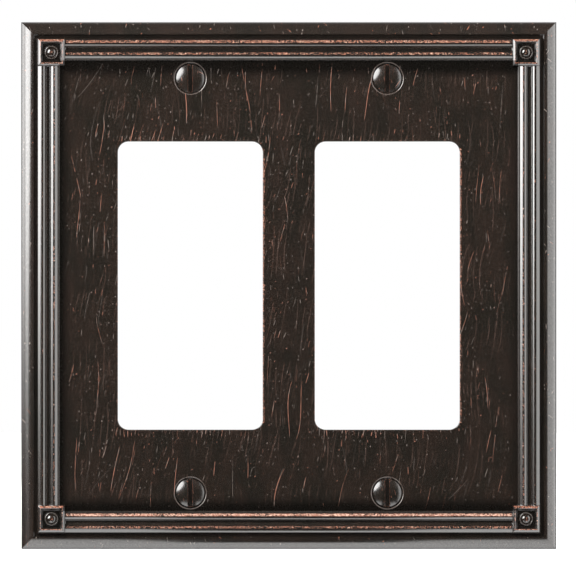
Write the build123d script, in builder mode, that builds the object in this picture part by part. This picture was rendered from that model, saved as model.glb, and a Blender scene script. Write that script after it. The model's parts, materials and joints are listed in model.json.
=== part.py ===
from build123d import *
import math
import os

# Two-gang decorator wall plate with a stepped, beaded border and four mounting screws.
# The wall is the plane Y = 0, the front faces -Y, +X is to the right and +Z is up.
# The origin is the centre of the back rim. A height is a distance out from the wall,
# an inset is measured in from the plate's outer edge. Lengths are mm, angles degrees.

# ---- overall size ----
plate_width = 125.1
plate_height = 123.2

# ---- standard device interface ----
gang_spacing = 46.04  # 1.8125 in between neighbouring devices
screw_spacing = 96.84  # 3.8125 in between the two screws of one device
opening_width = 33.85
opening_height = 67.35
opening_corner = 2.5
opening_edge_round = 0.25

# ---- outer bevel: convex, mitred at the corners ----
side_height = 1.3  # straight side wall next to the wall
bevel_width = 2.75
bevel_height = 4.15
bevel_bulge = 0.577  # of the arc beyond its chord

# ---- field and moulding ----
field_height = 3.9
recess_inset = 3.15  # the quiet band starts here
recess_flare = 40
moulding_inset = 3.91
moulding_height = 4.4
moulding_draft = 8
beads = (  # inset of the centre line, width, rise above the moulding
    (4.90, 1.84, 0.63),
    (7.67, 1.72, 0.60),
)
bead_root = 0.4  # how far a bead is sunk into the moulding
step_inset = 8.92  # the step down to the field starts here
step_run = 0.15

# ---- corner blocks ----
block_size = 6.44
block_height = 6.0
block_draft = 5
panel_size = 4.45
panel_depth = 0.75
panel_draft = 8
boss_collar_radius, boss_collar_rise = 1.45, 0.12
dome_radius, dome_centre_height = 1.10, 4.95

# ---- screw holes ----
hole_radius = 2.335
countersink_radius = 3.68
countersink_angle = 82
countersink_edge_round = 0.30

# ---- hollow back: each "_back" is the height of a feature's rear face ----
rim_thickness = 2.1
pocket_height = 2.0
pocket_draft = 8
core_outer_inset, core_inner_inset, core_height = 4.3, 8.4, 3.0
collar_wall, collar_back = 1.5, 0.4
boss_radius, boss_back = 3.7, 0.3
rib_thickness, rib_back = 1.4, 0.9
pad_radius, pad_rise = 1.75, 0.15
pad_points = [
    # columns outside the openings
    *[(x, z) for x in (-47.5, 47.5) for z in (-40, -14, 14, 40)],
    # rows above and below the openings
    *[(x, z) for x in (-34.5, -11.5, 11.5, 34.5) for z in (-41.5, 41.5)],
]

# ---- number 6-32 oval-head screw ----
head_radius = 3.325
head_rim = 0.15
crown_rise = 0.95
seat_gap = 0.04
neck_radius = 1.5
thread_radius = 1.75
thread_start = 0.6  # behind the wall plane
thread_lead_in = 0.25
screw_length = 12.7  # from the head's rim to the tip
tip_chamfer = 0.45
slot_width, slot_depth = 1.1, 1.15

# ---- modelling allowances ----
recess_cut = 1.0  # clears everything in front of the field
opening_cut_start, opening_cut = -1, 10  # starts behind the wall plane, cuts through
hole_depth = 6  # passes through the plate and its bosses
slot_clearance = 0.5  # past the crown in front, and past the head at each slot end
overlap = 0.1  # joins each back feature to the floor of its pocket
level_tolerance = 0.01  # for picking edges that lie in the field
size_tolerance = 0.05  # for picking edges by radius
opening_margin = 0.1  # for picking edges round the openings

# ---- derived places ----
half_width, half_height = plate_width / 2, plate_height / 2
moulding_rise = moulding_height - field_height
gang_x = gang_spacing / 2
screw_z = screw_spacing / 2
opening_points = [(-gang_x, 0), (gang_x, 0)]
screw_points = [(x, z) for x in (-gang_x, gang_x) for z in (-screw_z, screw_z)]
block_x = half_width - moulding_inset - block_size / 2
block_z = half_height - moulding_inset - block_size / 2
block_points = [(x, z) for x in (-block_x, block_x) for z in (-block_z, block_z)]
countersink_slope = math.tan(math.radians(countersink_angle / 2))


def inset_size(inset):
    """Width and height of the plate's rectangle, inset on every side."""
    return plate_width - 2 * inset, plate_height - 2 * inset


def bevel_middle():
    """Inset and height of the bevel's outermost point, on the normal at its chord's middle."""
    rise = bevel_height - side_height
    chord = math.hypot(bevel_width, rise)
    return (
        bevel_width / 2 - bevel_bulge * rise / chord,
        side_height + rise / 2 + bevel_bulge * bevel_width / chord,
    )


def on_xy(across, height):
    """Sketch point on Plane.XY of a section whose width runs along X."""
    return across, -height


def on_yz(across, height):
    """Sketch point on Plane.YZ of a section whose width runs along Z."""
    return -height, across


def export_part(part, name):
    part.label = name
    export_step(part, f"parts/{name}.step")


def build_wall_plate():
    middle_inset, middle_height = bevel_middle()

    with BuildPart() as wall_plate:
        # The same bevelled section is run up the plate and across it, and the overlap
        # of the two has mitred corners.
        for plane, point, half_across, half_along, mode in (
            (Plane.XY, on_xy, half_width, half_height, Mode.ADD),
            (Plane.YZ, on_yz, half_height, half_width, Mode.INTERSECT),
        ):
            front_edge = half_across - bevel_width
            bevel_edge = half_across - middle_inset
            with BuildSketch(plane):
                with BuildLine():
                    Polyline(point(-front_edge, bevel_height), point(front_edge, bevel_height))
                    ThreePointArc(
                        point(front_edge, bevel_height),
                        point(bevel_edge, middle_height),
                        point(half_across, side_height),
                    )
                    Polyline(
                        point(half_across, side_height),
                        point(half_across, 0),
                        point(-half_across, 0),
                        point(-half_across, side_height),
                    )
                    ThreePointArc(
                        point(-half_across, side_height),
                        point(-bevel_edge, middle_height),
                        point(-front_edge, bevel_height),
                    )
                make_face()
            extrude(amount=half_along, both=True, mode=mode)

        # The front is sunk inside the bevel, which leaves the quiet band and field level.
        with BuildSketch(Plane.XZ.offset(field_height)):
            Rectangle(*inset_size(recess_inset))
        extrude(amount=recess_cut, taper=-recess_flare, mode=Mode.SUBTRACT)

        # Moulding bed, with a sloped step from its inner edge down to the field.
        with BuildSketch(Plane.XZ.offset(field_height)):
            Rectangle(*inset_size(moulding_inset))
        extrude(amount=moulding_rise, taper=moulding_draft)
        with BuildSketch(Plane.XZ.offset(moulding_height)):
            Rectangle(*inset_size(step_inset))
        extrude(
            amount=-moulding_rise,
            taper=math.degrees(math.atan(step_run / moulding_rise)),
            mode=Mode.SUBTRACT,
        )

        # Two round beads up each side, then two along the top and the bottom.
        for plane, point, half_across, half_along in (
            (Plane.XY, on_xy, half_width, block_z),
            (Plane.YZ, on_yz, half_height, block_x),
        ):
            with BuildSketch(plane):
                for inset, width, rise in beads:
                    for centre in (-half_across + inset, half_across - inset):
                        start, end = centre - width / 2, centre + width / 2
                        with BuildLine():
                            ThreePointArc(
                                point(start, moulding_height),
                                point(centre, moulding_height + rise),
                                point(end, moulding_height),
                            )
                            Polyline(
                                point(end, moulding_height),
                                point(end, moulding_height - bead_root),
                                point(start, moulding_height - bead_root),
                                point(start, moulding_height),
                            )
                        make_face()
            extrude(amount=half_along, both=True)

        # Corner blocks: a drafted square block with a sunk panel, and a domed bead in it.
        with BuildSketch(Plane.XZ.offset(field_height)):
            with Locations(*block_points):
                Rectangle(block_size, block_size)
        extrude(amount=block_height - field_height, taper=block_draft)
        with BuildSketch(Plane.XZ.offset(block_height)):
            with Locations(*block_points):
                Rectangle(panel_size, panel_size)
        extrude(amount=-panel_depth, taper=panel_draft, mode=Mode.SUBTRACT)
        with BuildSketch(Plane.XZ.offset(block_height - panel_depth)):
            with Locations(*block_points):
                Circle(boss_collar_radius)
        extrude(amount=boss_collar_rise)
        with Locations(*[(x, -dome_centre_height, z) for x, z in block_points]):
            Sphere(dome_radius)

        # Hollow back: a drafted pocket inside the rim, cored deeper behind the moulding.
        with BuildSketch(Plane.XZ):
            Rectangle(*inset_size(rim_thickness))
        extrude(amount=pocket_height, taper=pocket_draft, mode=Mode.SUBTRACT)
        with BuildSketch(Plane.XZ.offset(pocket_height)):
            Rectangle(*inset_size(core_outer_inset))
            Rectangle(*inset_size(core_inner_inset), mode=Mode.SUBTRACT)
        extrude(amount=core_height - pocket_height, mode=Mode.SUBTRACT)

        # Back ribs: one between the openings, one across each screw row.
        rib_width, rib_height = inset_size(rim_thickness)
        with BuildSketch(Plane.XZ.offset(rib_back)):
            Rectangle(rib_thickness, rib_height)
            with Locations((0, -screw_z), (0, screw_z)):
                Rectangle(rib_width, rib_thickness)
        extrude(amount=core_height - rib_back + overlap)

        # Screw bosses, and a stiffening collar round each opening.
        with BuildSketch(Plane.XZ.offset(boss_back)):
            with Locations(*screw_points):
                Circle(boss_radius)
        extrude(amount=pocket_height - boss_back + overlap)
        with BuildSketch(Plane.XZ.offset(collar_back)):
            with Locations(*opening_points):
                RectangleRounded(
                    opening_width + 2 * collar_wall,
                    opening_height + 2 * collar_wall,
                    opening_corner + collar_wall,
                )
        extrude(amount=pocket_height - collar_back + overlap)

        # Round ejector pads on the pocket floor.
        with BuildSketch(Plane.XZ.offset(pocket_height - pad_rise)):
            with Locations(*pad_points):
                Circle(pad_radius)
        extrude(amount=pad_rise + overlap)

        # Device openings, with a small round on their front edges.
        with BuildSketch(Plane.XZ.offset(opening_cut_start)):
            with Locations(*opening_points):
                RectangleRounded(opening_width, opening_height, opening_corner)
        extrude(amount=opening_cut, mode=Mode.SUBTRACT)
        field_range = (-field_height - level_tolerance, -field_height + level_tolerance)
        reach_x = gang_x + opening_width / 2 + opening_margin
        reach_z = opening_height / 2 + opening_margin
        fillet(
            wall_plate.edges()
            .filter_by_position(Axis.Y, *field_range)
            .filter_by_position(Axis.X, -reach_x, reach_x)
            .filter_by_position(Axis.Z, -reach_z, reach_z),
            radius=opening_edge_round,
        )

        # Countersunk clearance holes, drilled from the field, with rounded front edges.
        with Locations(
            *[
                Plane(origin=(x, -field_height, z), x_dir=(1, 0, 0), z_dir=(0, -1, 0))
                for x, z in screw_points
            ]
        ):
            CounterSinkHole(
                radius=hole_radius,
                counter_sink_radius=countersink_radius,
                depth=hole_depth,
                counter_sink_angle=countersink_angle,
            )
        fillet(
            wall_plate.edges()
            .filter_by(GeomType.CIRCLE)
            .filter_by_position(Axis.Y, *field_range)
            .filter_by(lambda edge: abs(edge.radius - countersink_radius) < size_tolerance),
            radius=countersink_edge_round,
        )

    return wall_plate.part


def build_screw(x, z):
    """Screw on the axis through (x, z), in its countersink with a hair of clearance."""
    rim_height = (
        field_height - (countersink_radius - head_radius) / countersink_slope + seat_gap
    )
    cone_height = rim_height - (head_radius - neck_radius) / countersink_slope
    crown_base = rim_height + head_rim
    crown_top = crown_base + crown_rise
    crown_radius = (head_radius**2 + crown_rise**2) / (2 * crown_rise)
    # Height above the crown sphere's centre, halfway out to the head's rim.
    crown_mid = math.sqrt(crown_radius**2 - (head_radius / 2) ** 2)
    tip_y = screw_length - rim_height

    with BuildPart() as screw:
        # Half section through the axis: crown, rim, countersunk cone, neck, thread, tip.
        with BuildSketch(Plane.XY.offset(z)):
            with BuildLine():
                ThreePointArc(
                    (x, -crown_top),
                    (x + head_radius / 2, -(crown_top - crown_radius + crown_mid)),
                    (x + head_radius, -crown_base),
                )
                Polyline(
                    (x + head_radius, -crown_base),
                    (x + head_radius, -rim_height),
                    (x + neck_radius, -cone_height),
                    (x + neck_radius, thread_start),
                    (x + thread_radius, thread_start + thread_lead_in),
                    (x + thread_radius, tip_y - tip_chamfer),
                    (x + thread_radius - tip_chamfer, tip_y),
                    (x, tip_y),
                    (x, -crown_top),
                )
            make_face()
        revolve(axis=Axis((x, 0, z), (0, 1, 0)))

        # Upright driver slot across the crown.
        with BuildSketch(Plane.XZ.offset(crown_top + slot_clearance)):
            with Locations((x, z)):
                Rectangle(slot_width, 2 * (head_radius + slot_clearance))
        extrude(amount=-(slot_depth + slot_clearance), mode=Mode.SUBTRACT)

    return screw.part


os.makedirs("parts", exist_ok=True)
export_part(build_wall_plate(), "wall_plate")
for row, z in (("upper", screw_z), ("lower", -screw_z)):
    for side, x in (("left", -gang_x), ("right", gang_x)):
        export_part(build_screw(x, z), f"screw_{row}_{side}")
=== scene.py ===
"""A rubbed-bronze wall plate with two device openings and four oval-head screws.

The plate stands upright, centred on x and z. The wall plane is y = 0 and the front looks
towards -Y. Shapes are worked out in mm as (x, height over the wall plane, z).
"""
import json
import math
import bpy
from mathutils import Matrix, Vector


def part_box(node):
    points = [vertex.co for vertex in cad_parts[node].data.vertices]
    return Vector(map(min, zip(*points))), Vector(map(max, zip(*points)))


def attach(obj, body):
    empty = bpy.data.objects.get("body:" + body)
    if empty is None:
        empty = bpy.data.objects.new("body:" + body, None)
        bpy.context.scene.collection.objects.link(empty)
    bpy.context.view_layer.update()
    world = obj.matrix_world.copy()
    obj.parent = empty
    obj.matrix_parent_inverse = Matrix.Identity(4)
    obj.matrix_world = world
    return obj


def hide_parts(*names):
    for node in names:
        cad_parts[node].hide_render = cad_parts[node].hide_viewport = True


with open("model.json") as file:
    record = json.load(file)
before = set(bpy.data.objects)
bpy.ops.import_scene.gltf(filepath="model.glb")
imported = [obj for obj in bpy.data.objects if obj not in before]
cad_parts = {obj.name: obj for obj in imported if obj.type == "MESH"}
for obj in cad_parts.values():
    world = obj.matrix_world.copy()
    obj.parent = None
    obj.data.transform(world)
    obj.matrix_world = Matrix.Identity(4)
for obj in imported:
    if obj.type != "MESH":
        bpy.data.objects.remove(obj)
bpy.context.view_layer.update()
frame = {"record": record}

from types import SimpleNamespace

import bmesh
import bpy
import numpy as np
from mathutils import Matrix

MM = 0.001

# ---------------------------------------------------------------- sizes, mm
mounts = {m["name"]: m for m in frame["record"]["mounts"]}
screw_spacing = mounts["device_screws"]["dims"]
low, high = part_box("wall_plate")
HALF_W, HALF_H = (high.x - low.x) / 2 / MM, (high.z - low.z) / 2 / MM
GANG_X = screw_spacing["spacing_x_mm"] / 2  # centres of openings and screws
ROW_Z = screw_spacing["spacing_y_mm"] / 2  # screw rows
OPEN_W, OPEN_H, OPEN_R = 33.85 / 2, 67.35 / 2, 2.5  # opening: half sizes, corner radius
FIELD, BED = 3.9, 4.38  # heights of the flat field and of the beads' bed
BACK_FLOOR = 2.0
PANEL = 5.25  # height of a corner block's sunk panel
# each bead: inset of outer foot, crest and inner foot, rise over the bed
BEADS = ((3.95, 5.04, 5.84, 0.63), (6.80, 7.67, 8.52, 0.60))
BEAD_1, BEAD_2 = BEADS[0][1], BEADS[1][1]
BEVEL_R, BEVEL_A = 3.685, math.radians(78.5)
SIDE = 1.3  # height of the plate's side, below the bevel
BLOCK = 7.13  # inset of a corner block's centre
CONE = math.tan(math.radians(41))  # slope of the 82 degree countersinks and screw heads


# ---------------------------------------------------------------- sections
def rounded(knots, sigma, start=None, step=0.005):
    """A section through knots, its corners rounded by a small moving average past start."""
    knots = np.array(knots, float)
    inset = np.arange(knots[0, 0], knots[-1, 0] + step, step)
    height = np.interp(inset, knots[:, 0], knots[:, 1])
    reach = int(4 * sigma / step)
    weights = np.exp(-0.5 * (np.arange(-reach, reach + 1) * step / sigma) ** 2)
    padded = np.pad(height, reach, mode="edge")
    soft = np.convolve(padded, weights / weights.sum(), mode="valid")
    if start is not None:
        share = np.clip((inset - start) / (4 * sigma), 0, 1)
        soft = height * (1 - share) + soft * share
    return lambda where: np.interp(where, inset, soft)


def bead(outer, crest, inner, rise):
    """A bead with a fairly tight crest, so its flanks are steeper than a half-round's."""
    points = []
    for u in np.linspace(-1, 1, 69):
        inset = crest + u * ((inner - crest) if u > 0 else (crest - outer))
        points.append((inset, BED + rise * max(0.0, 1 - abs(u) ** 1.42) ** 0.92))
    return points


def bevel_inset(angle):
    return BEVEL_R * (math.sin(BEVEL_A) - math.sin(angle))


def front_knots():
    """(inset, height) from the plate's edge to the field."""
    knots = []
    for angle in np.linspace(BEVEL_A, math.radians(9.0), 60):
        inset = bevel_inset(angle)
        if inset < 2.86:
            knots.append((inset, SIDE + BEVEL_R * (math.cos(angle) - math.cos(BEVEL_A))))
    top = knots[-1][1]
    knots += [(2.92, top), (3.06, top - 0.12), (3.12, FIELD), (3.86, FIELD), (3.91, BED)]
    knots += bead(*BEADS[0])
    knots += [(5.90, BED - 0.02), (6.10, BED - 0.06), (6.32, BED - 0.08),
              (6.58, BED - 0.05), (6.78, BED)]
    knots += bead(*BEADS[1])
    knots += [(8.90, BED), (9.00, FIELD + 0.06), (9.06, FIELD), (80.0, FIELD)]
    return knots


# the others are (distance, height): from a block's centre, the plate's edge, a rib's centre
front_section = rounded(front_knots(), 0.028, start=2.6)
block_section = rounded(
    [(0.0, PANEL), (2.04, PANEL), (2.09, 5.40), (2.30, 5.72), (2.44, 5.96), (2.54, 6.03),
     (2.66, 5.98), (3.08, 5.56), (3.15, 5.42), (3.19, 4.6), (3.22, 4.0), (3.27, FIELD),
     (6.0, FIELD)], 0.03)
back_section = rounded(
    [(0.0, 0.0), (2.1, 0.0), (2.38, BACK_FLOOR), (4.3, BACK_FLOOR), (4.42, 3.0),
     (8.28, 3.0), (8.4, BACK_FLOOR), (80.0, BACK_FLOOR)], 0.05, start=1.6)
rib_section = rounded([(0.0, 0.9), (0.62, 0.9), (0.84, 3.2), (80.0, 3.2)], 0.05)


def edge_inset(x, z):
    return np.minimum(HALF_W - np.abs(x), HALF_H - np.abs(z))


def front_height(x, z):
    height = front_section(edge_inset(x, z))
    from_block = np.maximum(np.abs(np.abs(x) - (HALF_W - BLOCK)),
                            np.abs(np.abs(z) - (HALF_H - BLOCK)))
    block = block_section(from_block)
    around = np.where(from_block < 3.45, np.maximum(height, block), height)
    return np.where(from_block < 3.0, block, around)


def back_height(x, z):
    """Height of the hollow back, with its upright and level ribs."""
    inset = edge_inset(x, z)
    height = back_section(inset)
    ribs = np.minimum(rib_section(np.abs(x)), rib_section(np.abs(np.abs(z) - ROW_Z)))
    hollow = np.where(inset > 2.2, np.minimum(height, ribs), height)
    return np.where(inset < 0.01, 0.07, hollow)


# ---------------------------------------------------------------- plate grid
# half sizes of the square patches cut from the grid, and the margin round an opening
HOLE_BOX, DOME_BOX, PAD_BOX, OPEN_GAP = 3.98, 1.72, 2.1, 2.4
# centres (x, z) of the round pads on the back, in all four quarters
PADS = [(sx * x, sz * z) for x, z in ((47.5, 40), (47.5, 14), (34.5, 41.5), (11.5, 41.5))
        for sx in (-1, 1) for sz in (-1, 1)]


def spread(first, last, step):
    return list(np.linspace(first, last, max(2, int(round((last - first) / step)) + 1)))


def grid_lines(half, required, optional):
    """Sorted, mirrored lines: the required, and the optional not too close to another."""
    lines = sorted({round(v, 4) for r in required for v in (-r, r)}
                   | {-round(half, 4), round(half, 4)})
    for value in optional:
        for v in (-value, value):
            if all(abs(v - other) > 0.035 for other in lines):
                lines.append(round(v, 4))
    return np.array(sorted(lines))


def plate_grid():
    insets = [0.08]
    insets += [bevel_inset(a) for a in np.linspace(BEVEL_A, math.radians(14), 16)[1:]]
    insets += spread(2.72, 3.5, 0.06) + spread(3.5, 9.35, 0.09) + spread(9.35, 10.5, 0.08)
    ribs = [0.0, 0.5, 0.58, 0.64, 0.7, 0.76, 0.82, 0.9]

    x_need = [HALF_W - BLOCK - DOME_BOX, HALF_W - BLOCK + DOME_BOX,
              GANG_X - HOLE_BOX, GANG_X + HOLE_BOX,
              GANG_X - OPEN_W - OPEN_GAP, GANG_X + OPEN_W + OPEN_GAP,
              GANG_X - OPEN_W + OPEN_R, GANG_X + OPEN_W - OPEN_R]
    z_need = [HALF_H - BLOCK - DOME_BOX, HALF_H - BLOCK + DOME_BOX,
              ROW_Z - HOLE_BOX, ROW_Z + HOLE_BOX, OPEN_H + OPEN_GAP, OPEN_H - OPEN_R]
    x_more = [HALF_W - d for d in insets] + ribs
    x_more += spread(GANG_X - HOLE_BOX, GANG_X + HOLE_BOX, 0.4)
    z_more = [HALF_H - d for d in insets] + [ROW_Z + s * v for v in ribs for s in (-1, 1)]
    z_more += spread(ROW_Z - HOLE_BOX, ROW_Z + HOLE_BOX, 0.4)
    for s in (-1, 1):
        x_more += spread(GANG_X + s * (OPEN_W - OPEN_R), GANG_X + s * (OPEN_W + OPEN_GAP), 0.35)
    z_more += spread(OPEN_H - OPEN_R, OPEN_H + OPEN_GAP, 0.35)
    for pad_x, pad_z in PADS:
        for centre, need, more in ((abs(pad_x), x_need, x_more), (abs(pad_z), z_need, z_more)):
            need += [centre - PAD_BOX, centre + PAD_BOX]
            more += spread(centre - PAD_BOX, centre + PAD_BOX, 0.5)
    x_more += spread(1.2, 52, 1.6)
    z_more += spread(0, 51, 1.6)
    return grid_lines(HALF_W, x_need, x_more), grid_lines(HALF_H, z_need, z_more)


GRID_X, GRID_Z = plate_grid()


def grid_index(lines, value):
    index = int(np.argmin(np.abs(lines - value)))
    assert abs(lines[index] - value) < 2e-3, value
    return index


def rect_loop(ids, i0, i1, j0, j1):
    """The vertices round a rectangle of the grid."""
    return ([ids[j0][i] for i in range(i0, i1)] + [ids[j][i1] for j in range(j0, j1)]
            + [ids[j1][i] for i in range(i1, i0, -1)] + [ids[j][i0] for j in range(j1, j0, -1)])


class Shell:
    """The plate's closed shell: a front and a back grid, with patches cut out and refilled."""

    def __init__(self):
        self.points, self.faces = [], []
        self.grids = {}
        self.cut = {"front": set(), "back": set()}

    def add_grid(self, side, x, height, z):
        base, wide = len(self.points), len(GRID_X)
        self.points += [tuple(v) for v in np.stack([x.ravel(), height.ravel(), z.ravel()], 1)]
        self.grids[side] = [[base + j * wide + i for i in range(wide)]
                            for j in range(len(GRID_Z))]

    def add(self, x, height, z):
        self.points.append((x, height, z))
        return len(self.points) - 1

    def take(self, side, centre_x, centre_z, half_x, half_z):
        """Cuts a rectangle out of a grid and gives the loop round it."""
        i0, i1 = (grid_index(GRID_X, centre_x + s * half_x) for s in (-1, 1))
        j0, j1 = (grid_index(GRID_Z, centre_z + s * half_z) for s in (-1, 1))
        self.cut[side] |= {(i, j) for j in range(j0, j1) for i in range(i0, i1)}
        return rect_loop(self.grids[side], i0, i1, j0, j1)

    def band(self, first, second):
        """Quads between two closed loops of the same length."""
        count = len(first)
        for k in range(count):
            m = (k + 1) % count
            self.faces.append((first[k], first[m], second[m], second[k]))

    def add_circles(self, loop, centre_x, centre_z, rings):
        """Bands inward from a loop through circles of (radius, height); gives the last."""
        last = loop
        for radius, height in rings:
            ring = []
            for v in loop:
                x, _, z = self.points[v]
                angle = math.atan2(z - centre_z, x - centre_x)
                ring.append(self.add(centre_x + radius * math.cos(angle), height,
                                     centre_z + radius * math.sin(angle)))
            self.band(last, ring)
            last = ring
        return last

    def close(self, loop, x, height, z):
        """Fills a loop with a fan of triangles to one point."""
        tip = self.add(x, height, z)
        for k in range(len(loop)):
            self.faces.append((loop[k], loop[(k + 1) % len(loop)], tip))


def add_screw_holes(shell):
    """Countersunk holes, each with a boss on the back. Rings are (radius, height)."""
    def cone_height(radius):
        return FIELD - 0.18 - (3.60 - radius) / CONE

    rings = [(3.92, FIELD), (3.84, FIELD - 0.004), (3.77, FIELD - 0.03),
             (3.70, FIELD - 0.075), (3.64, FIELD - 0.135), (3.60, FIELD - 0.18)]
    rings += [(radius, cone_height(radius)) for radius in np.linspace(3.45, 2.44, 6)]
    # bore, then the boss's end and outside
    rings += [(2.375, cone_height(2.40)), (2.345, 2.22), (2.335, 2.10), (2.335, 1.3),
              (2.335, 0.45), (2.36, 0.35), (2.42, 0.3),
              (3.0, 0.3), (3.58, 0.3), (3.66, 0.33), (3.70, 0.42), (3.72, 1.2), (3.74, 1.88),
              (3.80, 1.97), (3.90, BACK_FLOOR)]
    for x in (-GANG_X, GANG_X):
        for z in (-ROW_Z, ROW_Z):
            front = shell.take("front", x, z, HOLE_BOX, HOLE_BOX)
            back = shell.take("back", x, z, HOLE_BOX, HOLE_BOX)
            shell.band(shell.add_circles(front, x, z, rings), back)


def add_openings(shell):
    """Round-cornered openings, each with a raised rim on the back."""
    # offset outward from the opening's wall, height: lip, wall, then the rim
    rings = [(1.6, FIELD), (0.7, FIELD), (0.2, FIELD), (0.13, FIELD - 0.008),
             (0.065, FIELD - 0.04), (0.02, FIELD - 0.1), (0.0, FIELD - 0.17),
             (0.0, 2.0), (0.0, 0.52), (0.03, 0.44), (0.1, 0.4), (0.7, 0.4), (1.38, 0.4),
             (1.46, 0.43), (1.5, 0.52), (1.53, 1.2), (1.56, 1.88), (1.62, 1.97),
             (1.72, BACK_FLOOR)]
    flat_x, flat_z = OPEN_W - OPEN_R, OPEN_H - OPEN_R
    for centre in (-GANG_X, GANG_X):
        box = (centre, 0.0, OPEN_W + OPEN_GAP, OPEN_H + OPEN_GAP)
        front, back = shell.take("front", *box), shell.take("back", *box)
        last = front
        for offset, height in rings:
            ring = []
            for v in front:
                x, _, z = shell.points[v]
                core_x = min(max(x - centre, -flat_x), flat_x)
                core_z = min(max(z, -flat_z), flat_z)
                dx, dz = x - centre - core_x, z - core_z
                away = math.hypot(dx, dz)
                ring.append(shell.add(centre + core_x + dx / away * (OPEN_R + offset), height,
                                      core_z + dz / away * (OPEN_R + offset)))
            shell.band(last, ring)
            last = ring
        shell.band(last, back)


def add_domes(shell):
    """A dome in a shallow collar in each corner block. Rings are (radius, height)."""
    rings = [(1.66, PANEL), (1.60, 5.27), (1.52, 5.39), (1.47, 5.45), (1.42, 5.47),
             (1.37, 5.45), (1.27, 5.28), (1.22, PANEL)]
    for degrees in np.linspace(14, 86, 14):
        angle = math.radians(degrees)
        rings.append((1.20 * math.cos(angle), 5.02 + 1.01 * math.sin(angle)))
    for sx in (-1, 1):
        for sz in (-1, 1):
            x, z = sx * (HALF_W - BLOCK), sz * (HALF_H - BLOCK)
            loop = shell.take("front", x, z, DOME_BOX, DOME_BOX)
            shell.close(shell.add_circles(loop, x, z, rings), x, 6.032, z)


def add_pads(shell):
    """Round pads on the back floor. Rings are (radius, height)."""
    rings = [(1.84, 2.0), (1.78, 1.98), (1.75, 1.92), (1.72, 1.87), (1.66, 1.85),
             (1.5, 1.85), (1.42, 1.87), (1.0, 1.87), (0.5, 1.87)]
    for x, z in PADS:
        loop = shell.take("back", x, z, PAD_BOX, PAD_BOX)
        shell.close(shell.add_circles(loop, x, z, rings), x, 1.87, z)


def add_cells(shell, x, z):
    """The remaining grid cells, split along the mitre where they cross it."""
    mitre = np.abs((HALF_W - np.abs(x)) - (HALF_H - np.abs(z))) < 2e-3
    for side, ids in shell.grids.items():
        for j in range(len(GRID_Z) - 1):
            for i in range(len(GRID_X) - 1):
                if (i, j) in shell.cut[side]:
                    continue
                a, b, c, d = ids[j][i], ids[j][i + 1], ids[j + 1][i + 1], ids[j + 1][i]
                if mitre[j, i] and mitre[j + 1, i + 1]:
                    shell.faces += [(a, b, c), (a, c, d)]
                elif mitre[j, i + 1] and mitre[j + 1, i]:
                    shell.faces += [(a, b, d), (b, c, d)]
                else:
                    shell.faces.append((a, b, c, d))


def build_plate():
    shell = Shell()
    x, z = np.meshgrid(GRID_X, GRID_Z)
    shell.add_grid("front", x, front_height(x, z), z)
    shell.add_grid("back", x, back_height(x, z), z)
    add_screw_holes(shell)
    add_openings(shell)
    add_domes(shell)
    add_pads(shell)
    add_cells(shell, x, z)
    whole = (0, len(GRID_X) - 1, 0, len(GRID_Z) - 1)
    shell.band(*(rect_loop(shell.grids[side], *whole) for side in ("front", "back")))
    return shell


# ---------------------------------------------------------------- mesh objects
def link_object(name, mesh):
    obj = bpy.data.objects.new(name, mesh)
    bpy.context.scene.collection.objects.link(obj)
    return obj


def shade_smooth(mesh, sharp):
    for polygon in mesh.polygons:
        polygon.use_smooth = True
    mesh.set_sharp_from_angle(angle=math.radians(sharp))


def to_object(name, points, faces, sharp=38.0):
    """An object from (x, height, z) in mm, without loose vertices, normals outward."""
    points = np.array(points, float)
    used = np.zeros(len(points), bool)
    for face in faces:
        used[list(face)] = True
    index = np.cumsum(used) - 1
    verts = np.stack([points[used, 0], -points[used, 1], points[used, 2]], 1) * MM
    mesh = bpy.data.meshes.new(name)
    mesh.from_pydata(verts.tolist(), [], [tuple(int(index[v]) for v in f) for f in faces])
    work = bmesh.new()
    work.from_mesh(mesh)
    bmesh.ops.recalc_face_normals(work, faces=work.faces)
    work.to_mesh(mesh)
    work.free()
    shade_smooth(mesh, sharp)
    return link_object(name, mesh)


def crisp_mitres(mesh):
    """Marks the four mitres of the outer bevel as sharp."""
    points = np.empty(len(mesh.vertices) * 3)
    mesh.vertices.foreach_get("co", points)
    points = points.reshape(-1, 3) / MM
    inset_x, inset_z = HALF_W - np.abs(points[:, 0]), HALF_H - np.abs(points[:, 2])
    on_mitre = (np.abs(inset_x - inset_z) < 3e-3) & (inset_x < 2.9) & (points[:, 1] < -1.0)
    pairs = np.empty(len(mesh.edges) * 2, dtype=np.int64)
    mesh.edges.foreach_get("vertices", pairs)
    pairs = pairs.reshape(-1, 2)
    sharp = np.zeros(len(mesh.edges), dtype=bool)
    layer = (mesh.attributes.get("sharp_edge")
             or mesh.attributes.new("sharp_edge", "BOOLEAN", "EDGE"))
    layer.data.foreach_get("value", sharp)
    layer.data.foreach_set("value", sharp | (on_mitre[pairs[:, 0]] & on_mitre[pairs[:, 1]]))


plate_shell = build_plate()
plate = to_object("cast_cover", plate_shell.points, plate_shell.faces)
crisp_mitres(plate.data)


# ---------------------------------------------------------------- screws, mm
SCREW_LENGTH = 12.7  # tip to the head's rim
THREAD_PITCH = 25.4 / 32
THREAD_R, ROOT_R, NECK_R = 1.748, 1.36, 1.5
CROWN_RISE = 0.95
SLOT_HALF, SLOT_DEPTH, SLOT_DISH = 0.55, 1.15, 0.10


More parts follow.
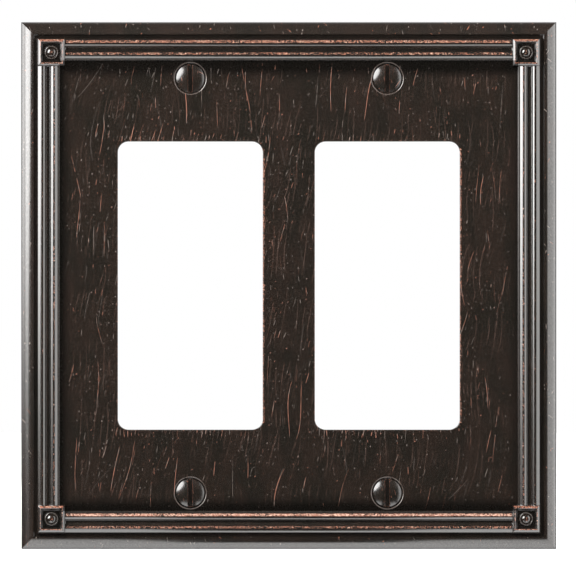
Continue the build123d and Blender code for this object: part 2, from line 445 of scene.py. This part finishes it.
def screw_body(head_r, tip, rim, crown_top):
    """A turned head and neck, a helical thread and a flat tip, on the Y axis."""
    count = 64
    angles = np.linspace(0, 2 * math.pi, count, endpoint=False)
    crown_r = (head_r**2 + CROWN_RISE**2) / (2 * CROWN_RISE)
    points, faces, loops = [], [], []

    def crown(radius):
        return crown_top - crown_r + math.sqrt(crown_r**2 - radius * radius)

    def cone_height(radius):
        return rim - (head_r - radius) / CONE

    def add_ring(radii, height):
        loops.append([len(points) + k for k in range(count)])
        points.extend((radius * math.cos(angle), height, radius * math.sin(angle))
                      for radius, angle in zip(np.broadcast_to(radii, count), angles))

    rings = [(radius, crown(radius)) for radius in np.linspace(0.12, head_r - 0.12, 22)]
    edge = crown(head_r - 0.12)
    rings += [(head_r - 0.06, edge - 0.03), (head_r - 0.02, edge - 0.07),
              (head_r, rim + 0.09), (head_r, rim + 0.03), (head_r - 0.03, rim - 0.02)]
    rings += [(radius, cone_height(radius))
              for radius in np.linspace(head_r - 0.2, NECK_R + 0.1, 8)]
    neck_top = cone_height(NECK_R)
    rings += [(NECK_R + 0.02, neck_top - 0.03), (NECK_R, neck_top - 0.12)]
    for radius, height in rings:
        add_ring(radius, height)

    start = rings[-1][1] - 0.15
    for drop in np.arange(0, start - tip - 0.01, THREAD_PITCH / 14):
        height = start - drop
        phase = (drop / THREAD_PITCH - angles / (2 * math.pi)) % 1.0
        wave = np.clip(np.abs(phase - 0.5) * 2, 0, 1)  # 0 at the crest, 1 at the root
        tooth = np.clip((wave - 0.12) / 0.72, 0, 1)
        grow = np.clip(drop / (1.3 * THREAD_PITCH), 0, 1)
        radii = NECK_R + (THREAD_R - (THREAD_R - ROOT_R) * tooth - NECK_R) * grow
        lead_in = THREAD_R - np.clip(0.5 - (height - tip), 0, 0.5) * 0.95
        add_ring(np.minimum(radii, lead_in), height)
    for radius, height in ((1.18, tip + 0.02), (1.1, tip), (0.6, tip), (0.2, tip)):
        add_ring(radius, height)

    for upper, lower in zip(loops, loops[1:]):
        for k in range(count):
            m = (k + 1) % count
            faces.append((upper[k], upper[m], lower[m], lower[k]))
    for loop, height in ((loops[0], crown_top), (loops[-1], tip)):
        centre = len(points)
        points.append((0.0, height, 0.0))
        for k in range(count):
            faces.append((loop[k], loop[(k + 1) % count], centre))
    return to_object("screw_blank", points, faces, 32)


def slot_cutter(head_r, floor):
    """An upright bar with a slightly dished floor."""
    half, reach = SLOT_HALF, head_r + 0.6
    outline = [(-half, floor + 0.05), (-half + 0.05, floor), (half - 0.05, floor),
               (half, floor + 0.05), (half, floor + 3), (-half, floor + 3)]
    count, stations = len(outline), np.linspace(-reach, reach, 7)
    points, faces = [], []
    for z in stations:
        dish = SLOT_DISH * (1 - (z / reach) ** 2)
        points += [(x, height - (dish if height < floor + 1 else 0), z) for x, height in outline]
    for s in range(len(stations) - 1):
        for k in range(count):
            m = (k + 1) % count
            faces.append((s * count + k, s * count + m, (s + 1) * count + m,
                          (s + 1) * count + k))
    faces.append(tuple(range(count)))
    faces.append(tuple((len(stations) - 1) * count + k for k in reversed(range(count))))
    return to_object("slot_cutter", points, faces)


def screw_mesh(node):
    """The slotted screw as one mesh, with softened edges."""
    near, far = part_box(node)
    tip = -far.y / MM
    head_r = (far.x - near.x) / 2 / MM
    rim = SCREW_LENGTH + tip
    crown_top = rim + 0.15 + CROWN_RISE
    body = screw_body(head_r, tip, rim, crown_top)
    cutter = slot_cutter(head_r, crown_top - SLOT_DEPTH)

    slot = body.modifiers.new("slot", "BOOLEAN")
    slot.operation = "DIFFERENCE"
    slot.object = cutter
    slot.solver = "EXACT"
    soften = body.modifiers.new("soften", "BEVEL")
    soften.width = 0.05 * MM
    soften.segments = 2
    soften.limit_method = "ANGLE"
    soften.angle_limit = math.radians(50)
    bpy.context.view_layer.update()
    graph = bpy.context.evaluated_depsgraph_get()
    done = bpy.data.meshes.new_from_object(body.evaluated_get(graph))
    for obj in (body, cutter):
        bpy.data.objects.remove(obj)
    shade_smooth(done, 40)
    return done


screws = {}
blank = screw_mesh("screw_upper_left")
for node in ("screw_upper_left", "screw_upper_right", "screw_lower_left", "screw_lower_right"):
    low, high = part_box(node)
    mesh = blank.copy()
    mesh.name = node.replace("screw_", "oval_head_screw_")
    mesh.transform(Matrix.Translation(((low.x + high.x) / 2, 0, (low.z + high.z) / 2)))
    screws[node] = link_object(mesh.name, mesh)
bpy.data.meshes.remove(blank)


# ---------------------------------------------------------------- shader nodes
tree = None  # the node tree that made() adds to


def open_tree(node_tree):
    global tree
    tree = node_tree
    tree.nodes.clear()


def new_material(name):
    """A material with an empty node tree, opened for building."""
    material = bpy.data.materials.new(name)
    material.use_nodes = True
    open_tree(material.node_tree)
    return material


class Value:
    """A node's output. Arithmetic and comparisons on it add math nodes."""

    def __init__(self, socket):
        self.socket = socket

    def __add__(self, other):
        return calc("ADD", self, other)

    def __sub__(self, other):
        return calc("SUBTRACT", self, other)

    def __rsub__(self, other):
        return calc("SUBTRACT", other, self)

    def __mul__(self, other):
        return calc("MULTIPLY", self, other)

    def __truediv__(self, other):
        return calc("DIVIDE", self, other)

    def __pow__(self, other):
        return calc("POWER", self, other)

    def __lt__(self, other):
        return calc("LESS_THAN", self, other)

    def __gt__(self, other):
        return calc("GREATER_THAN", self, other)

    def __abs__(self):
        return calc("ABSOLUTE", self)


def made(kind, inputs=(), output=0, **props):
    """Adds a node, sets or links its inputs, and gives one of its outputs."""
    fresh = tree.nodes.new("ShaderNode" + kind)
    for key, value in props.items():
        setattr(fresh, key, value)
    for key, value in dict(inputs).items():
        if isinstance(value, Value):
            tree.links.new(value.socket, fresh.inputs[key])
        else:
            fresh.inputs[key].default_value = value
    return Value(fresh.outputs[output])


def finish_tree(shader, kind="ShaderNodeOutputMaterial"):
    tree.links.new(shader.socket, tree.nodes.new(kind).inputs[0])


def calc(operation, *values, clamp=False):
    return made("Math", enumerate(values), operation=operation, use_clamp=clamp)


def mad(value, factor, plus):
    return calc("MULTIPLY_ADD", value, factor, plus)


def swing(value, reach):
    """value from 0..1 to -reach..reach."""
    return mad(value, 2 * reach, -reach)


def times(value, factor):
    """value * factor, clamped to 0..1."""
    return calc("MULTIPLY", value, factor, clamp=True)


def rest(value):
    """1 - value, clamped to 0..1."""
    return calc("SUBTRACT", 1.0, value, clamp=True)


def most(first, *others):
    for other in others:
        first = calc("MAXIMUM", first, other)
    return first


def ramp(value, low, high, to_low=0.0, to_high=1.0):
    """value from low..high to to_low..to_high, smooth and clamped."""
    return made("MapRange", {"Value": value, "From Min": low, "From Max": high,
                             "To Min": to_low, "To Max": to_high},
                interpolation_type="SMOOTHSTEP")


def near(value, centre, wide, soft=0.4):
    """1 within soft * wide of centre, falling to 0 at wide."""
    return ramp(abs(value - centre), wide, wide * soft)


def vec(operation, first, second=None):
    inputs = {0: first}
    if second is not None:
        inputs["Scale" if operation == "SCALE" else 1] = second
    output = "Value" if operation in ("LENGTH", "DOT_PRODUCT") else 0
    return made("VectorMath", inputs, output, operation=operation)


def xyz(x, y, z):
    return made("CombineXYZ", {0: x, 1: y, 2: z})


def all_outputs(value):
    return [Value(socket) for socket in value.socket.node.outputs]


def split(vector):
    return all_outputs(made("SeparateXYZ", {0: vector}))


def channels(colour):
    return all_outputs(made("SeparateColor", {0: colour}, mode="RGB"))


def noise(place, scale=1.0, detail=2.0, rough=0.5, output="Fac", flat=False):
    return made("TexNoise",
                {"Vector": place, "Scale": scale, "Detail": detail, "Roughness": rough},
                output, noise_dimensions="2D" if flat else "3D")


def turn(vector, angle):
    return made("VectorRotate", {"Vector": vector, "Angle": angle}, rotation_type="Z_AXIS")


def mix(factor, first, second):
    return made("Mix", {0: factor, 6: first, 7: second}, 2, data_type="RGBA")


def object_place():
    return made("TexCoord", output="Object")


# ---------------------------------------------------------------- rubbing marks
def cells(place, size, seed):
    """Splits the plane into cells. Gives the place in mm from a cell's centre, and six
    numbers that are random per cell."""
    grid = vec("DIVIDE", place, (size[0], size[1], 1.0))
    which = vec("FLOOR", grid)
    centred = vec("SUBTRACT", vec("FRACTION", grid), (0.5, 0.5, 0.0))
    inside = vec("MULTIPLY", centred, (size[0], size[1], 0.0))
    numbers = []
    for shift in ((seed * 17.31, seed * 5.77, seed * 3.13),
                  (seed * 9.17 + 40.5, seed * 2.39 - 11.5, seed * 7.7)):
        numbers += channels(made("TexWhiteNoise", {"Vector": vec("ADD", which, shift)},
                                 "Color", noise_dimensions="3D"))
    return inside, numbers


def scratches(place, cell, tilt, jitter, length, width, density, seed, gaps, faint=1.5):
    """Hand-rubbed scratches, at most one per cell, each with its own place, slant, length
    and width. Lengths are in mm, angles in degrees; a higher faint gives weaker scratches.
    Gives the strength, and a number that is random per scratch."""
    inside, random = cells(turn(place, math.radians(tilt)), cell, seed)
    lean = math.radians(jitter)
    slack_x = max(0.0, cell[0] / 2 - length[1] / 2 * math.sin(lean) - width[1] / 2)
    slack_y = max(0.0, (cell[1] - length[1]) / 2)
    shift = xyz(swing(random[0], slack_x), swing(random[1], slack_y), 0.0)
    x, y, _ = split(turn(vec("SUBTRACT", inside, shift), swing(random[2], lean)))
    half = mad(random[3] ** 1.5, (length[1] - length[0]) / 2, length[0] / 2)
    half_wide = mad(random[4], (width[1] - width[0]) / 2, width[0] / 2)
    bow = swing(random[0], 0.018)
    across = abs(x - y * y * bow)
    along = y / half
    taper = rest(along * along)
    thick = half_wide * mad(taper, 0.7, 0.3)
    body = times(rest(across / thick), 2.2) * times(taper, 4.0)
    here = random[5] > 1.0 - density
    power = mad(calc("FRACT", random[3] * 91.7) ** faint, 0.88, 0.12)
    return body * here * power * gaps, random[4]


def toned_scratches(place, **settings):
    """Scratches, and a tone that is random per scratch."""
    strength, number = scratches(place, **settings)
    return strength, calc("FRACT", number * 57.3)


def specks(place, size, radius, density, seed):
    """Small rubbed spots, at most one per cell. Gives the strength, and a random tone."""
    inside, random = cells(place, (size, size * 1.3), seed)
    room = size / 2 - radius[1]
    shift = xyz(swing(random[0], room), swing(random[1], room), 0.0)
    turned = turn(vec("SUBTRACT", inside, shift), mad(random[5], 1.2, -0.3))
    away = vec("LENGTH", vec("MULTIPLY", turned, (1.0, 0.55, 0.0)))
    reach = mad(random[2] * random[2], radius[1] - radius[0], radius[0])
    dot = times(rest(away / reach), 2.0)
    here = random[3] > 1.0 - density
    return dot * here * mad(random[4], 0.7, 0.3), random[5]


# ---------------------------------------------------------------- bronze
DARK = (0.0098, 0.0077, 0.0056, 1.0)
BROWN = (0.0150, 0.0098, 0.0071, 1.0)
STREAK = (0.078, 0.047, 0.036, 1.0)
COPPER = (0.32, 0.128, 0.082, 1.0)
COPPER_THIN = (0.27, 0.122, 0.085, 1.0)
COPPER_LIGHT = (0.74, 0.46, 0.35, 1.0)
GREY = (0.235, 0.20, 0.18, 1.0)
# near-black for the hollows and for painted shade beside the raised border
HOLLOW_AND_SHADE_DARK = (0.0022, 0.0019, 0.0015, 1.0)
INNER_STEP = (0.030, 0.026, 0.023, 1.0)
BACK = (0.012, 0.011, 0.0105, 1.0)
STEEL_EDGE = (0.30, 0.26, 0.22, 1.0)
STEEL = (0.045, 0.038, 0.032, 1.0)


def bronze(base, rough, relief, coat, metal, shine=0.5):
    """The shared shader: dark patina, lacquered except where it is rubbed through."""
    bump = made("Bump", {"Strength": 0.4, "Distance": 0.00002, "Height": relief})
    finish_tree(made("BsdfPrincipled", {
        "Base Color": base, "Metallic": metal, "Roughness": rough, "IOR": 1.95,
        "Specular IOR Level": shine, "Coat Weight": coat, "Coat Roughness": 0.12,
        "Coat IOR": 1.5, "Normal": bump}))


def plate_places():
    """Places on the plate in mm, and the noises that several parts of the finish share."""
    at = SimpleNamespace()
    at.point = vec("SCALE", object_place(), 1000.0)
    at.x, y, at.z = split(at.point)
    at.plane = xyz(at.x, at.z, 0.0)
    at.normal = made("NewGeometry", output="Normal")
    facing = split(at.normal)[1] * -1.0
    at.height = y * -1.0
    at.front = ramp(facing, 0.15, 0.4)
    at.back = facing < -0.2

    at.edge_x = HALF_W - abs(at.x)
    at.edge_z = HALF_H - abs(at.z)
    at.inset = calc("MINIMUM", at.edge_x, at.edge_z)
    at.level_run = at.edge_z < at.edge_x  # 1 on the top and bottom runs, 0 on the uprights
    beyond_x = calc("MAXIMUM", abs(abs(at.x) - GANG_X) - (OPEN_W - OPEN_R), 0.0)
    beyond_z = calc("MAXIMUM", abs(at.z) - (OPEN_H - OPEN_R), 0.0)
    at.to_open = vec("LENGTH", xyz(beyond_x, beyond_z, 0.0)) - OPEN_R
    block_x, block_z = at.edge_x - BLOCK, at.edge_z - BLOCK
    at.from_block = most(abs(block_x), abs(block_z))
    at.from_dome = vec("LENGTH", xyz(block_x, block_z, 0.0))
    at.in_block = at.from_block < 3.4
    at.to_hole = vec("LENGTH", xyz(abs(at.x) - GANG_X, abs(at.z) - ROW_Z, 0.0))

    drift = channels(noise(at.plane, scale=0.035, detail=1.0, output="Color", flat=True))
    at.drifted = xyz(mad(drift[0], 4.5, at.x - 2.25), mad(drift[1], 3.0, at.z - 1.5), 0.0)
    at.gaps = ramp(stretched(at, 1.9, 0.75, detail=2.0, rough=0.6), 0.36, 0.52, 0.12, 1.0)
    at.fine = noise(at.point, scale=3.0, detail=3.0, rough=0.6)
    at.blotch = noise(at.point, scale=2.9, detail=4.0, rough=0.75)
    return at


def stretched(at, scale_x, scale_z, detail, rough):
    """Flat noise with its own scale across and up the plate."""
    place = vec("MULTIPLY", at.drifted, (scale_x, scale_z, 1.0))
    return noise(place, detail=detail, rough=rough, flat=True)


def field_marks(at):
    """Hand-rubbed marks on the flat field: copper, grey and brown streaks."""
    ragged = swing(noise(at.drifted, scale=0.45, detail=3.0, rough=0.7, flat=True), 3.5)
    in_field = ramp(at.inset + ragged, 9.8, 12.8) * (at.inset > 9.6) * at.front
    by_open = ramp(at.to_open, 6.0, 0.4, 1.0, 1.5)
    patch = noise(at.drifted, scale=0.075, flat=True)
    # how dense the marks are: patchy, more by the openings, fewer to the right
    busy = ramp(patch, 0.36, 0.62, 0.54, 1.10) * by_open * ramp(at.x, -25.0, 50.0, 1.04, 0.78)
    gaps = at.gaps
    soft_gaps = mad(gaps, 0.6, 0.4)
    # short strokes that run out over the level edges of the openings
    at_sill = ramp(at.to_open, 3.6, 0.5) * (abs(at.z) > OPEN_H - 0.3)

    long_ = toned_scratches(
        at.drifted, cell=(4.8, 19.0), tilt=7, jitter=6, length=(8.0, 18.5),
        width=(0.14, 0.25), density=busy * 0.62, seed=1, gaps=soft_gaps, faint=0.9)
    middle = toned_scratches(
        at.drifted, cell=(3.2, 8.2), tilt=9, jitter=9, length=(2.5, 8.0),
        width=(0.14, 0.24), density=busy * 0.52, seed=2, gaps=soft_gaps, faint=1.3)
    leaning = toned_scratches(
        at.drifted, cell=(7.0, 12.0), tilt=-6, jitter=8, length=(4.0, 11.8),
        width=(0.13, 0.21), density=busy * 0.48, seed=3, gaps=soft_gaps, faint=1.2)
    short = toned_scratches(
        at.drifted, cell=(1.6, 2.7), tilt=8, jitter=16, length=(0.4, 2.3),
        width=(0.12, 0.21), density=busy * 0.46, seed=4, gaps=gaps)
    dots = specks(at.drifted, size=1.2, radius=(0.07, 0.15), density=busy * 0.30, seed=8)
    sill = toned_scratches(
        at.drifted, cell=(0.95, 3.1), tilt=7, jitter=13, length=(0.9, 3.0),
        width=(0.15, 0.28), density=at_sill * 0.75, seed=14, gaps=gaps, faint=0.8)
    slash, _ = scratches(
        at.drifted, cell=(24.0, 26.0), tilt=38, jitter=8, length=(9.0, 20.0),
        width=(0.10, 0.16), density=0.5, seed=5, gaps=0.5, faint=0.7)
    lines, _ = scratches(
        at.drifted, cell=(1.45, 15.0), tilt=5, jitter=5, length=(5.0, 14.6),
        width=(0.15, 0.26), density=0.62, seed=6, gaps=soft_gaps, faint=0.8)
    short_lines, _ = scratches(
        at.drifted, cell=(0.95, 5.6), tilt=7, jitter=8, length=(1.6, 5.4),
        width=(0.14, 0.25), density=0.50, seed=7, gaps=gaps, faint=1.0)

    # marks, their strength as copper and as grey, and the share of them that is grey
    marks = [(long_, 1.0, 0.40, 0.25), (middle, 1.0, 0.50, 0.40), (leaning, 0.8, 0.40, 0.50),
             (short, 0.95, 0.76, 0.62), (dots, 0.8, 0.72, 0.66), (sill, 1.0, 0.60, 0.32)]
    coppers = [strength * (tone > share) * level for (strength, tone), level, _, share in marks]
    greys = [strength * (tone < share) * level for (strength, tone), _, level, share in marks]
    return (most(*coppers) * in_field, most(*greys, slash * 0.6) * in_field,
            most(lines, short_lines) * in_field)


def edge_wear_and_highlights(at):
    """Copper on raised edges, set more on the up-facing sides as painted light from above. Gives
    where it shows, and a painted highlight on the second bead.
    """
    def place(upright, top, bottom):
        """A value for the uprights, for the top run and for the bottom run."""
        level = mad(ramp(at.z, -1.0, 1.0), top - bottom, bottom)
        return level * at.level_run + (1.0 - at.level_run) * upright

    def worn(cover):
        return ramp(at.blotch, cover, cover + 0.07)

    # up-facing shoulders of the level runs, thin on the uprights' crests: centre, width. Real
    # rubbed copper, kept to the up-facing sides as painted light from above
    crest_1 = near(at.inset, place(BEAD_1 + 0.02, BEAD_1 - 0.45, BEAD_1 + 0.14),
                   place(0.17, 0.38, 0.36), soft=0.5)
    crest_2 = near(at.inset, place(BEAD_2 + 0.08, BEAD_2 - 0.26, BEAD_2 + 0.40),
                   place(0.26, 0.32, 0.38), soft=0.5)
    patchy = noise(at.point, scale=0.22)
    cover_1 = place(0.60, 0.475, 0.495) + swing(patchy, 0.07)
    cover_2 = place(0.555, 0.505, 0.43) + swing(patchy, 0.09)
    beads = most(crest_1 * worn(cover_1), crest_2 * worn(cover_2))
    beads = beads * (1.0 - at.in_block) * at.front
    # painted highlight: lighter copper on the second bead, none on the uprights, strongest on
    # the bottom run
    painted_bead_highlight = crest_2 * place(0.0, 0.03, 0.10)

    # the corner blocks' rims, more where they look up, and their domes. The rims' rubbed copper
    # favours the up-facing sides as painted light from above
    skyward = times(split(at.normal)[2], 1.6)
    rims = near(at.from_block, mad(skyward, 0.14, 2.58), mad(skyward, 0.30, 0.15))
    rims = rims * ramp(at.blotch, mad(skyward, -0.08, 0.52), mad(skyward, -0.08, 0.59))
    domes = ramp(at.from_dome, 0.70, 0.20) * ramp(at.fine, 0.52, 0.62) * 0.7
    blocks = most(rims, domes) * at.in_block * at.front

    # the openings' lips, widest on their right sides
    jamb = abs(at.z) < OPEN_H - 1.6
    right_jamb = (abs(at.x) - GANG_X) * calc("SIGN", at.x) > 0.0
    stretches = noise(xyz(at.x, at.z, 7.0), scale=0.09, rough=0.6)
    lip_wide = mad(right_jamb * ramp(stretches, 0.36, 0.58), 0.34, 0.20)
    lip_cover = mad(jamb, mad(right_jamb, -0.06, -0.05), 0.61)
    lip = near(at.to_open, 0.08, lip_wide) * worn(lip_cover) * (at.height > 3.3)

    sink = near(at.to_hole, 3.74, 0.16) * ramp(at.blotch, 0.50, 0.60) * at.front
    bevel_top = near(at.inset, 2.85, 0.20) * ramp(at.blotch, 0.66, 0.74) * at.front
    return most(beads, blocks, lip * 0.8, sink * 0.06, bevel_top), painted_bead_highlight


def hollows_and_painted_shade(at):
    """Darker in the hollows: the channel, the valley between the beads and the blocks' sunk
    panels. Painted shade on the field beside the raised border, weaker on the right.
    """
    # painted shade: the field beside the raised border is darkened as if in its shadow, weaker
    # on the right
    top_half = ramp(at.z, -5.0, 5.0)
    from_side = ramp(at.edge_x, 12.0, 9.2) * mad(at.x > 0.0, -0.45, 1.0)
    from_level = ramp(at.edge_z, mad(top_half, 0.8, 13.2), mad(top_half, 1.0, 9.7))
    border = most(from_side, from_level) * (at.inset > 9.0)
    channel = near(at.inset, 3.42, 0.62, soft=0.7) * (1.0 - at.in_block) * 0.7
    valley = near(at.inset, 6.60, 0.34, soft=0.5) * (1.0 - at.in_block) * 0.8
    panels = ramp(at.from_block, 2.20, 2.04) * ramp(at.from_dome, 1.52, 1.60) * 0.85
    return most(border, channel, valley, panels) * at.front


def plate_bronze():
    """Near-black patina, fine upright rubbing marks, copper on crests and edges."""
    material = new_material("rubbed_bronze_plate")
    at = plate_places()
    copper, grey, streak = field_marks(at)
    rubbed, painted_bead_highlight = edge_wear_and_highlights(at)
    shade_and_hollows = hollows_and_painted_shade(at)
    cloud = stretched(at, 0.16, 0.07, detail=3.0, rough=0.6)
    brushed = stretched(at, 2.1, 0.11, detail=3.0, rough=0.62)

    # pits and nicks on the outer bevel
    pits, pit_tone = specks(at.plane, size=1.2, radius=(0.06, 0.17), density=0.24, seed=12)
    nicks, _ = scratches(
        at.plane, cell=(1.7, 1.9), tilt=-12, jitter=45, length=(0.5, 1.7),
        width=(0.11, 0.22), density=0.34, seed=13, gaps=at.gaps, faint=0.8)
    pits = most(pits, nicks) * (at.inset < 2.9) * at.front

    # colour, from the patina up
    base = mix(ramp(cloud, 0.30, 0.66), DARK, BROWN)
    base = mix(ramp(brushed, 0.50, 0.80, 0.0, 0.055), base, STREAK)
    base = mix(streak * 0.66, base, STREAK)
    # darker hollows, and painted shade on the field beside the raised border
    base = mix(shade_and_hollows * 0.88, base, HOLLOW_AND_SHADE_DARK)
    inner_step = near(at.inset, 8.74, 0.20, soft=0.6)
    base = mix(inner_step * at.front * (1.0 - at.in_block) * 0.8, base, INNER_STEP)
    base = mix(times(grey, 0.95), base, GREY)
    base = mix(pits * 0.9, base, mix(pit_tone > 0.72, GREY, COPPER))
    # painted highlights: grey rings round the countersinks' edges and round the domes' collars
    base = mix(near(at.to_hole, 3.74, 0.16) * at.front * 0.22, base, GREY)
    base = mix(near(at.from_dome, 1.44, 0.20) * at.in_block * 0.22, base, GREY)
    tint = ramp(stretched(at, 1.3, 0.42, detail=1.0, rough=0.5), 0.50, 0.66, 0.0, 0.75)
    base = mix(copper, base, mix(tint, COPPER_THIN, GREY))
    # lighter copper where the glint noise is high, and the painted highlight on the second bead
    glint = noise(vec("ADD", at.point, (31.0, 7.0, 13.0)), scale=2.6, detail=3.0, rough=0.65)
    light = ramp(glint + painted_bead_highlight, 0.54, 0.63)
    # rubbed copper, set more on up-facing sides as painted light from above
    base = mix(rubbed, base, mix(light, COPPER, COPPER_LIGHT))
    base = mix(at.back * 0.6, base, BACK)

    relief = (rubbed * -0.8 + brushed * 0.25 + at.fine * mad(at.back, 2.4, 0.10)
              + rubbed * at.blotch * 3.0)
    raised = (at.inset < 8.7) * (at.inset > 3.9) * at.front
    on_bevel = (at.inset < 2.8) * (at.blotch - 0.5) * 0.9
    bronze(base,
           rough=(mad(at.fine, 0.06, 0.165)
                  + mad(streak, 0.04, mad(at.back, 0.26, shade_and_hollows * 0.08))),
           relief=relief,
           coat=rest(most(at.back * 0.8, rubbed * 0.6, shade_and_hollows * 0.7)),
           metal=most(copper, rubbed, grey) * 0.2,
           shine=on_bevel + mad(shade_and_hollows, -0.38, mad(raised, 0.17, 0.5)))
    return material


def screw_bronze():
    """The same patina on the head, with bare worn edges, and plain steel on the thread."""
    material = new_material("rubbed_bronze_screw")
    point = vec("SCALE", object_place(), 1000.0)
    x, y, z = split(point)
    plane = xyz(x, z, 0.0)
    height = y * -1.0
    head = ramp(height, 3.45, 3.6)
    shank = ramp(height, 1.6, 1.2)
    fine = noise(point, scale=5.0, detail=3.0, rough=0.6)
    blotch = noise(point, scale=2.6, detail=4.0, rough=0.62)
    cloud = noise(point, scale=0.6)

    # an edge is where the rounded normal turns away from the true one
    bevel = made("Bevel", {"Radius": 0.00013}, samples=6)
    turned = 1.0 - vec("DOT_PRODUCT", bevel, made("NewGeometry", output="Normal"))
    edges = ramp(turned, 0.02, 0.12) * ramp(blotch, 0.44, 0.56)
    longer, _ = scratches(plane, cell=(1.6, 2.4), tilt=12, jitter=35, length=(0.6, 2.2),
                          width=(0.07, 0.13), density=0.5, seed=21, gaps=1.0)
    shorter, _ = scratches(plane, cell=(1.1, 1.5), tilt=-30, jitter=40, length=(0.4, 1.3),
                           width=(0.05, 0.10), density=0.4, seed=22, gaps=1.0, faint=1.8)
    marks = most(longer, shorter) * head

    base = mix(ramp(cloud, 0.3, 0.7), DARK, BROWN)
    base = mix(marks * 0.8, base, COPPER)
    base = mix(edges * mad(shank, -0.5, 0.85), base, mix(shank, COPPER, STEEL_EDGE))
    base = mix(shank * 0.35, base, STEEL)
    bronze(base,
           rough=mad(fine, 0.10, 0.18) + shank * 0.12,
           relief=marks * -0.8 + fine * 0.5,
           coat=1.0 - shank * 0.7,
           metal=mad(shank, 0.5, edges * 0.3))
    return material


plate.data.materials.append(plate_bronze())
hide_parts("wall_plate")
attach(plate, "plate")
screw_finish = screw_bronze()
for node, obj in screws.items():
    obj.data.materials.clear()
    obj.data.materials.append(screw_finish)
    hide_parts(node)
    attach(obj, node)


# ---------------------------------------------------------------- stage, m
def stage_object(name, corners):
    mesh = bpy.data.meshes.new(name)
    mesh.from_pydata(corners, [], [tuple(range(len(corners)))])
    return link_object(name, mesh)


def panel(name, corners, strength, up=None, deep=None, glossy=True, diffuse=True):
    """A soft light panel, never seen directly. up and deep fade it along z and y:
    (from, its factor, to, its factor). Without diffuse it only shows in reflections."""
    obj = stage_object(name, corners)
    material = new_material(name)
    if up or deep:
        _, y, z = split(object_place())
        for place, ends in ((z, up), (y, deep)):
            if ends:
                start, start_factor, end, end_factor = ends
                strength = ramp(place, start, end, start_factor, end_factor) * strength
    finish_tree(made("Emission", {"Color": (1.0, 0.99, 0.98, 1.0), "Strength": strength}))
    if not diffuse:
        material.cycles.emission_sampling = "NONE"
    obj.data.materials.append(material)
    obj.visible_camera = False
    obj.visible_shadow = False
    obj.visible_glossy = glossy
    obj.visible_diffuse = diffuse


# (y, z) outline of the left softbox
LEFT_OUTLINE = (
    (-0.19, -0.45), (-0.20, -0.01), (-0.28, 0.02), (-0.36, 0.045), (-0.45, 0.12),
    (-0.62, 0.35), (-0.62, 0.60), (0.34, 0.60), (0.34, -0.45))
panel("left_softbox", [(-0.45, y, z) for y, z in LEFT_OUTLINE],
      strength=6.3, up=(-0.059, 0.0, 0.042, 1.0), deep=(-0.08, 1.0, 0.06, 0.46))
panel("right_softbox",
      [(0.45, -0.34, -0.45), (0.45, 0.34, -0.45), (0.45, 0.34, 0.60), (0.45, -0.34, 0.60)],
      strength=1.7, up=(-0.2, 0.85, 0.2, 1.1))
panel("under_card",
      [(-0.6, -0.18, -0.5), (0.6, -0.18, -0.5), (0.6, 0.4, -0.5), (-0.6, 0.4, -0.5)],
      strength=1.65, deep=(-0.02, 1.0, 0.3, 0.6), diffuse=False)
# name, side, y of the near edge, fade
for name, side, edge_y, fade in (
        ("near_card_left", -1, -0.16, (-0.155, 0.0, -0.078, 1.0)),
        ("near_card_right", 1, -0.15, (-0.145, 0.0, -0.070, 1.0))):
    panel(name, [(side * 0.12, -0.015, -0.16), (side * 0.12, edge_y, -0.16),
                 (side * 0.046, edge_y, -0.16), (side * 0.02, -0.015, -0.16)],
          strength=1.65, deep=fade, diffuse=False)
# name, side, z of the lower edge, strength
for name, side, low_z, strength in (("front_fill", -1, 0.25, 4.6), ("back_fill", 1, 0.15, 3.6)):
    panel(name, [(-0.7, side * 1.05, low_z), (0.7, side * 1.05, low_z),
                 (0.7, side * 0.45, 1.1), (-0.7, side * 0.45, 1.1)],
          strength=strength, glossy=False)


def build_floor():
    """A pale floor, darker near the plate, that glows: its emission, painted light, brings it to
    white far away and at a grazing look.
    """
    half, z = 2.4, -HALF_H * MM
    floor = stage_object("floor", [(-half, -half, z), (half, -half, z),
                                   (half, half, z), (-half, half, z)])
    material = new_material("pale_floor")
    away = vec("LENGTH", object_place())
    graze = made("LayerWeight", output="Facing")
    colour = mix(ramp(away, 0.05, 0.7), (0.52, 0.52, 0.515, 1.0), (0.86, 0.86, 0.855, 1.0))
    # glow: its emission is painted light, rising to white far away and at a grazing look
    finish_tree(made("BsdfPrincipled", {
        "Base Color": colour, "Roughness": 0.9, "Specular IOR Level": 0.2,
        "Emission Color": (1, 1, 1, 1),
        "Emission Strength": most(ramp(away, 0.05, 0.7), ramp(graze, 0.86, 0.93))}))
    material.cycles.emission_sampling = "NONE"
    floor.data.materials.append(material)
    floor.visible_glossy = False


def build_world():
    """White to the camera; elsewhere a faint light from behind and above."""
    world = bpy.data.worlds.new("studio")
    world.use_nodes = True
    open_tree(world.node_tree)
    _, y, z = split(made("TexCoord", output="Generated"))
    seen = made("LightPath", output="Is Camera Ray")
    around = ramp(y, 0.45, 0.95, 0.02, 0.40) + ramp(z, 0.1, 0.7, 0.0, 0.05)
    finish_tree(made("Background", {"Color": (1, 1, 1, 1),
                                    "Strength": seen * 1.0 + (1.0 - seen) * around}),
                "ShaderNodeOutputWorld")
    return world


build_floor()
scene = bpy.context.scene
scene.world = build_world()
scene.view_settings.view_transform = "Standard"
scene.view_settings.look = "None"
scene.view_settings.exposure = 0.0
scene.view_settings.gamma = 1.0

# square-on camera with a long lens
CAMERA_DISTANCE = 3.0
VIEW_WIDTH = 134.55 * MM  # at the field
camera_data = bpy.data.cameras.new("camera")
camera = link_object("camera", camera_data)
scene.camera = camera
camera_data.sensor_width = 36.0
camera_data.lens = 36.0 * CAMERA_DISTANCE / VIEW_WIDTH
camera_data.clip_start = 0.01
camera_data.clip_end = 20.0
camera.location = (-0.185 * MM, -CAMERA_DISTANCE - FIELD * MM, -0.55 * MM)
camera.rotation_euler = (math.radians(90), 0, 0)
